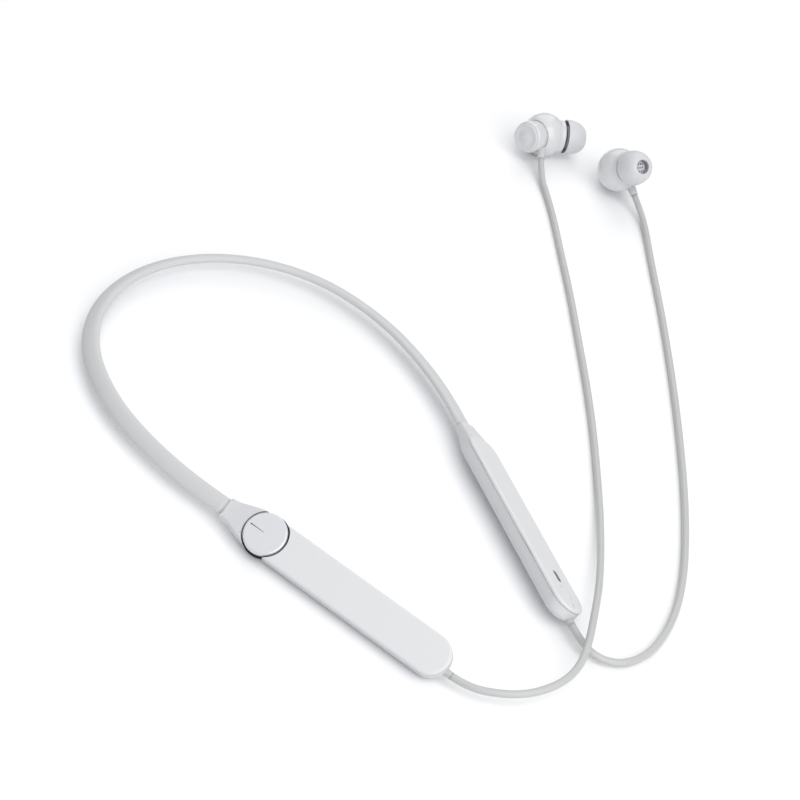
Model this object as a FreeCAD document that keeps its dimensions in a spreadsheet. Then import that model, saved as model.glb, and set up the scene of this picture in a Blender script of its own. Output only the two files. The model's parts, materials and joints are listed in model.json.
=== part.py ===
import FreeCAD, Part
import Sketcher
import math
import os
from FreeCAD import Placement, Rotation, Vector

# Neckband earphones lying on a level surface, in millimetres, +Z up. The flexible band bends
# round the neck in the XY plane; a slim pod sits on each end of it, and a thin cord leads from
# each pod to one bud. The origin is on the surface, under the middle of the whole object.

doc = FreeCAD.newDocument("NeckbandEarphones")
sheet = doc.addObject("Spreadsheet::Sheet", "Sizes")

SIZES = [
    ("neck_x", -79.04, "band's back from the origin, along X"),
    ("neck_y", -71.56, "band's back from the origin, along Y"),
    ("rest_height", 4.85, "height of the band's and the pods' centre line"),
    ("lean_deg", 59.0, "how far the pods' faces look up from level"),
    ("band_wide", 5.6, "band's section, across its face"),
    ("band_thick", 2.7, "band's section, through its face"),
    ("band_lead_in", 8.3, "straight end of the band before a pod"),
    ("wire_dia", 1.0, "memory wire"),
    ("leads_dia", 1.1, "bundle of leads beside the memory wire"),
    ("leads_side", 1.5, "leads' distance from the memory wire"),
    ("wire_reach", 6.0, "how far the memory wire enters a pod"),
    ("pod_length", 79.4, "pod with its collar"),
    ("pod_wide", 12.0, "pod across its face"),
    ("pod_thick", 5.8, "pod through its face"),
    ("pod_back_round", 2.4, "rounding of the pod's back edges"),
    ("pod_face_round", 0.9, "rounding of the pod's face edges"),
    ("collar_length", 12.0, "tapered collar that takes the band"),
    ("collar_wide", 6.6, "collar's small end, across"),
    ("collar_thick", 3.7, "collar's small end, through"),
    ("parting", 1.8, "height of the cover's joint above the pod's centre"),
    ("cavity_start", 19.0, "pod's hollow, first end along the pod"),
    ("cavity_length", 55.0, "pod's hollow, length"),
    ("cavity_wide", 9.8, "pod's hollow, across"),
    ("cavity_floor", -1.95, "pod's hollow, floor"),
    ("cavity_height", 3.75, "pod's hollow, height"),
    ("dial_at", 14.75, "dial's centre along its pod"),
    ("dial_rad", 6.4, "dial"),
    ("dial_well_rad", 6.95, "round well that the dial sits in"),
    ("dial_well_floor", 0.4, "well's floor above the pod's centre"),
    ("dial_under_rad", 4.7, "hollow under the well"),
    ("dial_low", 1.5, "dial's underside"),
    ("dial_high", 3.4, "dial's top"),
    ("hub_rad", 1.5, "dial's shaft"),
    ("run_gap", 0.05, "running clearance on the radius"),
    ("press_travel", 0.3, "travel of the dial and of the button"),
    ("cord_dia", 2.2, "bud cord"),
    ("grommet_rad", 1.4, "grommet at a pod's end"),
    ("stub_rad", 1.45, "sleeve at a bud"),
    ("grommet_out", 1.7, "grommet's length outside the pod"),
    ("grommet_in", 4.0, "grommet's length inside the pod's end"),
    ("charge_port_at", 38.0, "charging socket's centre along its pod"),
    ("plate_start", 6.4, "rounded start of the charging pod's cover"),
    ("voice_hole_at", 76.9, "microphone hole along the charging pod"),
    ("voice_hole_rad", 0.4, "microphone hole"),
    ("voice_hole_deep", 0.9, "microphone hole"),
    ("window_at", 65.5, "status light's window along its pod"),
    ("window_length", 4.6, "status light's window"),
    ("window_wide", 1.5, "status light's window"),
    ("button_at", 72.0, "power button along its pod"),
    ("button_length", 5.0, "power button"),
    ("button_wide", 2.6, "power button"),
    ("slip_gap", 0.1, "clearance round the button"),
    ("window_low", 1.65, "underside of the status light's window"),
    ("window_height", 1.2, "status light's window, through the cover"),
    ("button_low", 1.5, "underside of the power button"),
    ("button_height", 1.45, "power button"),
    ("part_wide", 8.4, "circuit boards, across the pod"),
    ("battery_wide", 8.6, "batteries, across the pod"),
    ("mark_length", 5.0, "index line on the dial"),
    ("mark_wide", 0.36, "index line's width"),
    ("mark_deep", 0.25, "index line's groove"),
    ("mark_inset", 5.3, "index line's outer end from the dial's centre"),
    ("board_height", 0.8, "circuit boards"),
    ("battery_height", 3.4, "batteries"),
    ("port_half_length", 4.47, "charging socket, half its length"),
    ("port_round", 1.6, "charging socket's rounded ends"),
    ("chamber_rad", 7.9, "bud's round chamber"),
    ("wall", 1.0, "wall of a bud"),
    ("seat", 4.6, "barrel's seat from the chamber's centre"),
    ("barrel_rad", 5.7, "barrel behind a bud's chamber"),
    ("barrel_end", 11.0, "barrel's end from the chamber's centre"),
    ("cap_rad", 5.05, "magnet cap on the barrel"),
    ("cap_end", 12.0, "magnet cap's face from the chamber's centre"),
    ("shoulder", 6.9, "flat end of the chamber, behind the tip"),
    ("nozzle_rad", 2.9, "bud's nozzle"),
    ("lip_rad", 3.2, "lip on the nozzle that holds the tip"),
    ("bore_rad", 2.3, "sound bore of the nozzle"),
    ("nozzle_end", 13.2, "nozzle's end from the chamber's centre"),
    ("skirt_start", 7.9, "ear tip's skirt edge from the chamber's centre"),
    ("tip_end", 15.4, "ear tip's front from the chamber's centre"),
]
for row, (alias, value, meaning) in enumerate(SIZES, start=1):
    sheet.set("A%d" % row, meaning)
    sheet.set("B%d" % row, str(value))
    sheet.setAlias("B%d" % row, alias)
doc.recompute()


def size(alias):
    return float(getattr(sheet, alias))


ORIGIN = Placement()
NECK = Vector(size("neck_x"), size("neck_y"), 0)
LEAN = math.radians(size("lean_deg"))
# The band's half outline, from the back of the neck: radius and turn in degrees of each arc.
BAND_ARCS = [(50.2, 70.5), (78.2, 20.3), (123.0, 15.3)]
nodes = []


# ---------------------------------------------------------------- helpers

def keep(thing, label):
    """Names a finished sub-part and lists it for export."""
    thing.Label = label
    nodes.append(thing)
    return thing


def new_body(label, place):
    body = doc.addObject("PartDesign::Body", label)
    body.Placement = place
    return body


def flat_sketch(body, plane, lift=0.0):
    base = [item for item in body.Origin.OriginFeatures if item.Role == plane][0]
    sketch = body.newObject("Sketcher::SketchObject", body.Name + "_sketch")
    sketch.AttachmentSupport = [(base, "")]
    sketch.MapMode = "FlatFace"
    sketch.AttachmentOffset = Placement(Vector(0, 0, lift), Rotation())
    return sketch


def draw(sketch, corners):
    """Closed outline through corners; a corner that holds two points is an arc's middle and end."""
    last = corners[0]
    for corner in corners[1:] + [corners[0]]:
        start = Vector(last[0], last[1], 0)
        if len(corner) == 4:
            middle = Vector(corner[0], corner[1], 0)
            end = Vector(corner[2], corner[3], 0)
            sketch.addGeometry(Part.Arc(start, middle, end), False)
            last = corner[2:]
        else:
            end = Vector(corner[0], corner[1], 0)
            if (end - start).Length > 1e-6:
                sketch.addGeometry(Part.LineSegment(start, end), False)
            last = corner


def draw_circle(sketch, x, y, radius):
    sketch.addGeometry(Part.Circle(Vector(x, y, 0), Vector(0, 0, 1), radius), False)


def raise_pad(body, sketch, height):
    """height is a number, or an expression on the sheet's cells."""
    pad = body.newObject("PartDesign::Pad", body.Name + "_pad")
    pad.Profile = sketch
    if isinstance(height, str):
        pad.setExpression("Length", height)
    else:
        pad.Length = height
    sketch.Visibility = False
    return pad


def block(label, place, low, length, width, height):
    """Rectangular piece; low is its lowest corner in the place's own frame."""
    body = new_body(label, place)
    sketch = flat_sketch(body, "XY_Plane", low[2])
    x, y = low[0], low[1]
    draw(sketch, [(x, y), (x + length, y), (x + length, y + width), (x, y + width)])
    raise_pad(body, sketch, height)
    return body


def disc(label, place, centre, radius, height, hole=0.0):
    body = new_body(label, place)
    sketch = flat_sketch(body, "XY_Plane", centre[2])
    draw_circle(sketch, centre[0], centre[1], radius)
    if hole:
        draw_circle(sketch, centre[0], centre[1], hole)
    raise_pad(body, sketch, height)
    return body


def slot_outline(centre, length, width):
    """Round-ended slot along X."""
    half = width / 2
    reach = length / 2 - half
    x, y = centre
    return [(x - reach, y - half), (x + reach, y - half),
            (x + reach + half, y, x + reach, y + half), (x - reach, y + half),
            (x - reach - half, y, x - reach, y - half)]


def slot_piece(label, place, centre, low, length, width, height):
    body = new_body(label, place)
    sketch = flat_sketch(body, "XY_Plane", low)
    draw(sketch, slot_outline(centre, length, width))
    raise_pad(body, sketch, height)
    return body


def turned(label, place, profile):
    """Turned piece: profile is a closed outline of (radius, height) about the place's Z."""
    body = new_body(label, place)
    sketch = flat_sketch(body, "XZ_Plane")
    draw(sketch, profile)
    turn = body.newObject("PartDesign::Revolution", body.Name + "_turn")
    turn.Profile = sketch
    turn.ReferenceAxis = (sketch, ["V_Axis"])
    turn.Angle = 360.0
    sketch.Visibility = False
    return body


def boolean(kind, label, base, tool):
    result = doc.addObject("Part::" + kind, label)
    result.Base = base
    result.Tool = tool
    return result


def plain(label, shape, place=ORIGIN):
    thing = doc.addObject("Part::Feature", label)
    thing.Shape = shape
    thing.Placement = place
    return thing


def rod(label, start, end, radius):
    """Round rod; radius is an expression on the sheet's cells."""
    direction = end - start
    cylinder = doc.addObject("Part::Cylinder", label)
    cylinder.setExpression("Radius", radius)
    cylinder.Height = direction.Length
    cylinder.Placement = Placement(start, Rotation(Vector(0, 0, 1), direction))
    return cylinder


# ---------------------------------------------------------------- the band's line and the pods' frames

def band_edges(outward=0.0, rise=0.0, reach=0.0):
    """Band's centre line from one pod to the other, moved outward and up; reach lengthens its ends."""
    height = size("rest_height") + rise
    half = []
    heading = math.pi / 2
    point = Vector(-outward, 0, height)
    for radius, degrees in BAND_ARCS:
        grown = radius + outward
        turn = math.radians(degrees)
        centre = point + Vector(math.sin(heading), -math.cos(heading), 0) * grown

        def on_arc(angle):
            way = heading - angle
            return centre + Vector(-math.sin(way), math.cos(way), 0) * grown

        half.append(("arc", point, on_arc(turn / 2), on_arc(turn)))
        point = on_arc(turn)
        heading -= turn
    ahead = Vector(math.cos(heading), math.sin(heading), 0)
    half.append(("line", point, point + ahead * (size("band_lead_in") + reach)))
    far = [[NECK + spot for spot in item[1:]] for item in half]
    near = [[NECK + Vector(spot.x, -spot.y, spot.z) for spot in reversed(item[1:])]
            for item in reversed(half)]
    edges = []
    for spots in near + far:
        curve = Part.LineSegment(*spots) if len(spots) == 2 else Part.Arc(*spots)
        edges.append(curve.toShape())
    return edges


def pod_place(side):
    """Pod's frame: X along the pod, Z out of its face. side is -1 for the dial, +1 for charging."""
    turned_by = math.radians(sum(degrees for radius, degrees in BAND_ARCS) - 90)
    along = Vector(math.cos(turned_by), -side * math.sin(turned_by), 0)
    outward = Vector(math.sin(turned_by), side * math.cos(turned_by), 0)
    face = outward * math.cos(LEAN) + Vector(0, 0, 1) * math.sin(LEAN)
    ends = band_edges()
    start = ends[0].Vertexes[0].Point if side < 0 else ends[-1].Vertexes[-1].Point
    return Placement(start, Rotation(along, face.cross(along), face, "XZY"))


def band_section(side_place, wide, thick):
    """Ellipse of the band's section, at the start of the band's line."""
    base = side_place.Base
    turn = side_place.Rotation
    across = turn.multVec(Vector(0, 1, 0))
    face = turn.multVec(Vector(0, 0, 1))
    oval = Part.Ellipse(base + across * (wide / 2), base + face * (thick / 2), base)
    return Part.Wire([oval.toShape()])


def sweep(edges, section):
    path = Part.Wire(edges)
    return path.makePipeShell([section], True, False)


def round_section(edges, radius):
    curve = edges[0]
    start = curve.valueAt(curve.FirstParameter)
    way = curve.tangentAt(curve.FirstParameter)
    return Part.Wire([Part.Circle(start, way, radius).toShape()])


# ---------------------------------------------------------------- cords' routes

# Points of each cord's route from its pod to its bud, from the back of the neck. The first cord
# rises to pass over the second just past the charging pod, then both lie on the surface.
DIAL_CORD = [
    (178.94, -22.53, 3.6), (184.2, -21.0, 3.8), (190.2, -15.8, 4.8), (195.0, -8.4, 5.8),
    (196.8, 1.2, 7.1), (195.0, 9.6, 7.9), (189.8, 17.6, 8.3), (182.0, 26.8, 8.3),
    (172.2, 38.4, 6.2), (160.4, 50.6, 3.7), (146.6, 63.4, 1.9), (131.4, 75.9, 1.2),
    (114.4, 89.2, 1.15), (96.2, 102.3, 1.15), (77.0, 115.4, 1.15), (56.8, 129.2, 1.15),
    (38.0, 141.2, 1.15), (21.5, 152.0, 1.15), (9.0, 159.2, 1.2), (1.6, 162.7, 2.0),
    (-4.9, 167.0, 4.73),
]
CHARGE_CORD = [
    (178.94, 22.53, 3.6), (184.9, 20.9, 3.4), (191.4, 22.4, 2.1), (195.7, 28.4, 1.3),
    (196.4, 37.2, 1.15), (193.6, 46.6, 1.15), (187.6, 57.8, 1.15), (178.4, 69.8, 1.15),
    (165.6, 83.0, 1.15), (149.6, 97.6, 1.15), (132.4, 112.0, 1.15), (114.4, 126.5, 1.15),
    (95.6, 140.9, 1.15), (75.6, 155.8, 1.15), (57.4, 168.6, 1.17), (43.2, 179.0, 1.27),
    (33.2, 185.6, 1.9), (25.4, 187.1, 5.26),
]


# ---------------------------------------------------------------- neckband

dial_place = pod_place(-1)
charge_place = pod_place(+1)
leads_out = size("leads_side") * math.sin(LEAN)
leads_rise = -size("leads_side") * math.cos(LEAN)

wire_path = band_edges(reach=size("wire_reach"))
wire_shape = sweep(wire_path, round_section(wire_path, size("wire_dia") / 2))
leads_path = band_edges(leads_out, leads_rise, size("wire_reach"))
leads_shape = sweep(leads_path, round_section(leads_path, size("leads_dia") / 2))
skin_shape = sweep(band_edges(), band_section(dial_place, size("band_wide"), size("band_thick")))
skin_shape = skin_shape.cut(wire_shape).cut(leads_shape)
keep(plain("neckband_skin", skin_shape), "neckband_skin")
keep(plain("memory_wire", wire_shape), "memory_wire")
keep(plain("neckband_leads", leads_shape), "neckband_leads")


# ---------------------------------------------------------------- pod housings

def rounded_section(x, wide, thick, back_round, face_round):
    """Pod's outline across its length: small rounding at the face, large at the back."""
    half, top = wide / 2, thick / 2
    spots = []
    corners = [(half, -top, back_round, -90), (half, top, face_round, 0),
               (-half, top, face_round, 90), (-half, -top, back_round, 180)]
    for y, z, radius, first in corners:
        centre_y = y - math.copysign(radius, y)
        centre_z = z - math.copysign(radius, z)
        arc = []
        for step in (0, 45, 90):
            angle = math.radians(first + step)
            out_y, out_z = radius * math.cos(angle), radius * math.sin(angle)
            arc.append(Vector(x, centre_y + out_y, centre_z + out_z))
        spots.append(arc)
    edges = []
    for index, arc in enumerate(spots):
        edges.append(Part.Arc(*arc).toShape())
        following = spots[(index + 1) % 4][0]
        edges.append(Part.LineSegment(arc[2], following).toShape())
    return Part.Wire(edges)


def pod_form():
    """Whole outer form of a pod: tapered collar, straight run and half-round end."""
    wide, thick = size("pod_wide"), size("pod_thick")
    back, face = size("pod_back_round"), size("pod_face_round")
    collar_end = size("collar_length")
    centre_x = size("pod_length") - wide / 2
    taper = [rounded_section(0, size("collar_wide"), size("collar_thick"), 1.6, 1.3),
             rounded_section(collar_end * 0.55, 9.8, 5.0, 2.0, 1.1),
             rounded_section(collar_end, wide, thick, back, face)]
    collar = Part.makeLoft(taper, True, False)
    outline = Part.Wire([
        Part.LineSegment(Vector(collar_end, -wide / 2, 0), Vector(centre_x, -wide / 2, 0)).toShape(),
        Part.Arc(Vector(centre_x, -wide / 2, 0), Vector(centre_x + wide / 2, 0, 0),
                 Vector(centre_x, wide / 2, 0)).toShape(),
        Part.LineSegment(Vector(centre_x, wide / 2, 0), Vector(collar_end, wide / 2, 0)).toShape(),
        Part.LineSegment(Vector(collar_end, wide / 2, 0), Vector(collar_end, -wide / 2, 0)).toShape()])
    run = Part.Face(outline).extrude(Vector(0, 0, thick))
    run.translate(Vector(0, 0, -thick / 2))

    def rim(height):
        found = []
        for edge in run.Edges:
            box = edge.BoundBox
            level = abs(box.ZMin - height) < 1e-4 and abs(box.ZMax - height) < 1e-4
            if level and box.XMax > collar_end + 1:
                found.append(edge)
        return found

    run = run.makeFillet(back, rim(-thick / 2))
    run = run.makeFillet(face, rim(thick / 2))
    return collar.fuse(run).removeSplitter()


def prism(outline, low, high):
    """Solid between two heights over an outline of points, as in draw()."""
    edges = []
    last = outline[0]
    for corner in outline[1:] + [outline[0]]:
        start = Vector(last[0], last[1], low)
        if len(corner) == 4:
            end = Vector(corner[2], corner[3], low)
            edges.append(Part.Arc(start, Vector(corner[0], corner[1], low), end).toShape())
            last = corner[2:]
        else:
            end = Vector(corner[0], corner[1], low)
            if (end - start).Length > 1e-6:
                edges.append(Part.LineSegment(start, end).toShape())
            last = corner
    return Part.Face(Part.Wire(edges)).extrude(Vector(0, 0, high - low))


FORM = pod_form()
HALF = size("pod_wide") / 2
CAVITY = Part.makeBox(size("cavity_length"), size("cavity_wide"), size("cavity_height"),
                      Vector(size("cavity_start"), -size("cavity_wide") / 2, size("cavity_floor")))


def passages(lower):
    """Bores from the collar's mouth into the hollow for the memory wire and the leads."""
    start = Vector(0, 0, 0)
    length = size("cavity_start") + 1
    wire = Part.makeCylinder(size("wire_dia") / 2 + 0.1, length, start, Vector(1, 0, 0))
    beside = Vector(0, lower * size("leads_side"), 0)
    leads = Part.makeCylinder(size("leads_dia") / 2 + 0.1, length, beside, Vector(1, 0, 0))
    return wire.fuse(leads)


def grommet_form(route):
    """Sleeve that holds a cord in a pod's end, in line with the cord and face to face with it."""
    exit_point = NECK + Vector(*route[0])
    back = exit_point - (NECK + Vector(*route[1]))
    length = size("grommet_out") + size("grommet_in")
    return Part.makeCylinder(size("grommet_rad"), length, exit_point, back)


def housing(lower, cover_outline, place, route):
    """Returns a pod's back shell and cover, before what is particular to each pod."""
    over = prism(cover_outline, size("parting"), size("pod_thick"))
    cover = FORM.common(over).cut(CAVITY)
    bore = grommet_form(route).transformGeometry(place.inverse().toMatrix())
    shell = FORM.cut(over).cut(CAVITY).cut(passages(lower)).cut(bore)
    return shell, cover


def biggest(shape):
    return max(shape.Solids, key=lambda solid: solid.Volume)


# ---------------------------------------------------------------- dial pod (side -1, its lower edge is -Y)

past_end = size("pod_length") + 5
square_start = [(size("collar_length"), -HALF - 2), (past_end, -HALF - 2),
                (past_end, HALF + 2), (size("collar_length"), HALF + 2)]
dial_shell, dial_cover = housing(-1, square_start, dial_place, DIAL_CORD)
dial_centre = Vector(size("dial_at"), 0, 0)
well = Part.makeCylinder(size("dial_well_rad"), 10,
                         dial_centre + Vector(0, 0, size("dial_well_floor")), Vector(0, 0, 1))
under = Part.makeCylinder(size("dial_under_rad"), 10,
                          dial_centre + Vector(0, 0, size("cavity_floor")), Vector(0, 0, 1))
dial_shell = biggest(dial_shell.cut(well).cut(under))
dial_cover = biggest(dial_cover.cut(well))
keep(plain("dial_pod_shell", dial_shell, dial_place), "dial_pod_shell")
keep(plain("dial_pod_cover", dial_cover, dial_place), "dial_pod_cover")


def at_dial(label, profile):
    """Turned piece about the dial's own axis."""
    place = dial_place.multiply(Placement(dial_centre, Rotation()))
    return turned(label, place, profile)


hub_rad, gap = size("hub_rad"), size("run_gap")
dial_rad, dial_low, dial_high = size("dial_rad"), size("dial_low"), size("dial_high")
well_floor = size("dial_well_floor")
keep(at_dial("dial_bezel", [(hub_rad + 0.3, well_floor), (6.7, well_floor), (6.7, well_floor + 0.45),
                            (hub_rad + 0.3, well_floor + 0.45)]), "dial_bezel")
keep(at_dial("dial_hub", [(0, -0.65), (hub_rad, -0.65), (hub_rad, 1.2), (3.2, 1.2), (3.2, 1.45),
                          (hub_rad, 1.45), (hub_rad, 2.5), (0, 2.5)]), "dial_hub")
blank = at_dial("dial_blank", [(hub_rad + gap, dial_low), (6.0, dial_low), (dial_rad, dial_low + 0.3),
                               (dial_rad, dial_high - 0.45), (5.9, dial_high), (0, dial_high),
                               (0, 2.55), (hub_rad + gap, 2.55)])
dial_at, floor = size("dial_at"), size("cavity_floor")
mark_wide, mark_low = size("mark_wide"), dial_high - size("mark_deep")
slack = 0.02
mark_start = dial_at - size("mark_inset")
mark_cut = block("dial_mark_cut", dial_place, (mark_start, -mark_wide / 2 - slack, mark_low),
                 size("mark_length") + 2 * slack, mark_wide + 2 * slack, 1.0)
keep(boolean("Cut", "dial_knob", blank, mark_cut), "dial_knob")
keep(block("dial_mark", dial_place, (mark_start + slack, -mark_wide / 2, mark_low),
           size("mark_length"), mark_wide, "Sizes.mark_deep - 0.05"), "dial_mark")

# Parts inside, each from its lowest corner or centre in the pod's frame.
board_wide, battery_wide = size("part_wide"), size("battery_wide")
encoder_side = 6.0
encoder_block = block("encoder_block", dial_place, (dial_at - encoder_side / 2, -encoder_side / 2, -0.9),
                      encoder_side, encoder_side, 1.2)
encoder_bore = disc("encoder_bore", dial_place, (dial_at, 0, -1.2), hub_rad + 0.25, 2.0)
keep(boolean("Cut", "dial_encoder", encoder_block, encoder_bore), "dial_encoder")
keep(disc("dial_press_switch", dial_place, (dial_at, 0, floor), 2.2, 0.9), "dial_press_switch")
keep(block("sound_board", dial_place, (22.5, -board_wide / 2, -1.0), 23.0, board_wide,
           "Sizes.board_height"), "sound_board")
keep(block("radio_chip", dial_place, (26.0, -2.6, -0.2), 5.2, 5.2, 0.9), "radio_chip")
keep(block("sound_chip", dial_place, (35.0, -2.0, -0.2), 4.0, 4.0, 0.8), "sound_chip")
keep(block("sound_battery", dial_place, (46.5, -battery_wide / 2, floor), 27.0, battery_wide,
           "Sizes.battery_height"), "sound_battery")


# ---------------------------------------------------------------- charging pod (side +1, lower edge +Y)

plate_start = size("plate_start")
start_rad = HALF + 1
rounded_start = [(plate_start + start_rad, -start_rad), (past_end, -start_rad), (past_end, start_rad),
                 (plate_start + start_rad, start_rad),
                 (plate_start, 0, plate_start + start_rad, -start_rad)]
charge_shell, charge_cover = housing(+1, rounded_start, charge_place, CHARGE_CORD)


def port_form(grow, low_y, high_y):
    """Round-ended block of the charging socket, from low_y to high_y across the pod."""
    long_half, round_rad = size("port_half_length") + grow, size("port_round") + grow
    reach = long_half - round_rad
    middle = Vector(size("charge_port_at"), low_y, -0.25)
    rod_a = Part.makeCylinder(round_rad, high_y - low_y, middle - Vector(reach, 0, 0), Vector(0, 1, 0))
    rod_b = Part.makeCylinder(round_rad, high_y - low_y, middle + Vector(reach, 0, 0), Vector(0, 1, 0))
    core = Part.makeBox(2 * reach, high_y - low_y, 2 * round_rad, middle - Vector(reach, 0, round_rad))
    return rod_a.fuse(core).fuse(rod_b).removeSplitter()


port_cut = port_form(0.05, -0.8, HALF + 2)
window = slot_outline((size("window_at"), 0), size("window_length"), size("window_wide"))
button_hole = slot_outline((size("button_at"), 0), size("button_length") + 2 * size("slip_gap"),
                           size("button_wide") + 2 * size("slip_gap"))
voice_deep = size("voice_hole_deep")
voice_spot = Vector(size("voice_hole_at"), 0, size("pod_thick") / 2 - voice_deep)
speak_hole = Part.makeCylinder(size("voice_hole_rad"), voice_deep, voice_spot, Vector(0, 0, 1))
button_room = size("button_low") - size("press_travel") - size("slip_gap")
charge_shell = biggest(charge_shell.cut(port_cut).cut(prism(button_hole, button_room, size("pod_thick"))))
for hole in (window, button_hole):
    charge_cover = charge_cover.cut(prism(hole, 0, size("pod_thick")))
charge_cover = biggest(charge_cover.cut(speak_hole))
keep(plain("charging_pod_shell", charge_shell, charge_place), "charging_pod_shell")
keep(plain("charging_pod_cover", charge_cover, charge_place), "charging_pod_cover")
port_shell = port_form(0, -0.7, HALF - 0.15).cut(port_form(-0.3, -0.4, HALF + 1))
keep(plain("charge_port_shell", port_shell, charge_place), "charge_port_shell")
keep(block("charge_port_tongue", charge_place, (size("charge_port_at") - 3.3, -0.4, -0.6), 6.6, 4.9, 0.7),
     "charge_port_tongue")
keep(slot_piece("light_window", charge_place, (size("window_at"), 0), size("window_low"),
                size("window_length"), size("window_wide"), "Sizes.window_height"), "light_window")
keep(slot_piece("power_button", charge_place, (size("button_at"), 0), size("button_low"),
                size("button_length"), size("button_wide"), "Sizes.button_height"), "power_button")
keep(block("button_switch", charge_place, (size("button_at") - 1.5, -1.2, 0.3), 3.0, 2.4, 0.8),
     "button_switch")
keep(block("charge_board", charge_place, (20.0, -board_wide / 2, -0.9), 12.8, board_wide,
           "Sizes.board_height"), "charge_board")
keep(block("charge_chip", charge_place, (24.0, -2.0, -0.1), 4.0, 4.0, 0.8), "charge_chip")
keep(block("charge_battery", charge_place, (43.6, -battery_wide / 2, floor), 19.0, battery_wide,
           "Sizes.battery_height"), "charge_battery")
keep(block("control_board", charge_place, (63.2, -board_wide / 2, -0.5), 10.6, board_wide,
           "Sizes.board_height"), "control_board")
keep(block("status_light", charge_place, (size("window_at") - 1.0, -0.6, 0.3), 2.0, 1.2, 0.8),
     "status_light")


# ---------------------------------------------------------------- cords

def cord_edges(route, name):
    """Straight runs joined by tangent arcs; prints the smallest arc's radius."""
    spots = [NECK + Vector(*spot) for spot in route]
    edges = []
    radii = []
    start = spots[0]
    for before, corner, after in zip(spots, spots[1:], spots[2:]):
        way_in = (corner - before).normalize()
        way_out = (after - corner).normalize()
        turn = way_in.getAngle(way_out)
        shorter = min((corner - before).Length, (after - corner).Length)
        setback = 0.45 * shorter
        radius = setback / math.tan(turn / 2)
        radii.append(radius)
        first = corner - way_in * setback
        last = corner + way_out * setback
        inward = (way_out - way_in).normalize()
        depth = radius / math.cos(turn / 2) - radius
        edges.append(Part.LineSegment(start, first).toShape())
        edges.append(Part.Arc(first, corner + inward * depth, last).toShape())
        start = last
    edges.append(Part.LineSegment(start, spots[-1]).toShape())
    print(name, "radii", [round(radius, 1) for radius in radii])
    return edges


def cord(route, name):
    edges = cord_edges(route, name)
    radius = size("cord_dia") / 2
    shape = sweep(edges, round_section(edges, radius))
    length = sum(edge.Length for edge in edges)
    expected = math.pi * radius ** 2 * length
    print(name, "length", round(length, 1), "volume ratio", round(shape.Volume / expected, 4))
    keep(plain(name, shape), name)


cord(DIAL_CORD, "dial_cord")
cord(CHARGE_CORD, "charge_cord")


keep(plain("dial_cord_grommet", grommet_form(DIAL_CORD)), "dial_cord_grommet")
keep(plain("charge_cord_grommet", grommet_form(CHARGE_CORD)), "charge_cord_grommet")


# ---------------------------------------------------------------- buds

chamber_rad, wall, seat = size("chamber_rad"), size("wall"), size("seat")
barrel_rad, barrel_end = size("barrel_rad"), size("barrel_end")
cap_rad, cap_end = size("cap_rad"), size("cap_end")
shoulder, bore, nozzle_end = size("shoulder"), size("bore_rad"), size("nozzle_end")
nozzle, lip = size("nozzle_rad"), size("lip_rad")
skirt, tip_end = size("skirt_start"), size("tip_end")


def on_ball(radius, angle_deg):
    """Point of a ball's outline, the angle measured from its equator towards the nozzle."""
    angle = math.radians(angle_deg)
    return radius * math.cos(angle), radius * math.sin(angle)


# Outlines of (radius, height) about the nozzle's axis, from the chamber's centre.
NOZZLE = [(nozzle, shoulder), (nozzle, nozzle_end - 1.4), (lip, nozzle_end - 1.1), (lip, nozzle_end - 0.4),
          (nozzle - 0.1, nozzle_end)]
OUTER = [(0, -chamber_rad), (*on_ball(chamber_rad, -24), *on_ball(chamber_rad, 42)), (5.4, shoulder),
         *NOZZLE, (0, nozzle_end)]
CHAMBER = [(0, -chamber_rad), (*on_ball(chamber_rad, -24), *on_ball(chamber_rad, 42)), (5.4, shoulder),
           *NOZZLE, (bore, nozzle_end), (bore, shoulder - wall), (3.4, shoulder - wall),
           on_ball(chamber_rad - wall, 60),
           (*on_ball(chamber_rad - wall, -15), 0, wall - chamber_rad)]
TIP = [(2.5, 13.6), (2.5, tip_end - 0.2), (2.9, tip_end, 3.5, tip_end - 0.2), (5.2, 13.9, 6.1, 11.8),
       (6.35, 9.8, 6.25, skirt), (5.75, skirt), (5.8, 9.8, 5.5, 11.6), (4.9, 12.9, 4.0, 13.3),
       (4.0, skirt), (lip + gap, skirt), (lip + gap, 13.6)]
# Outlines of (radius, height) about the barrel's axis, from the chamber's centre.
BARREL = [(barrel_rad, seat), (barrel_rad, barrel_end - 0.5), (barrel_rad - 0.5, barrel_end),
          (0, barrel_end), (0, barrel_end - wall), (barrel_rad - wall, barrel_end - wall),
          (barrel_rad - wall, seat)]
CAP = [(0, barrel_end), (cap_rad, barrel_end), (cap_rad, cap_end - 0.4), (cap_rad - 0.4, cap_end),
       (0, cap_end)]


def facing(centre, way, beside):
    """Frame at centre with its Z along way, and X as near as possible to beside."""
    side = beside - way * beside.dot(way)
    return Placement(centre, Rotation(side, way.cross(side), way, "ZXY"))


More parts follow.
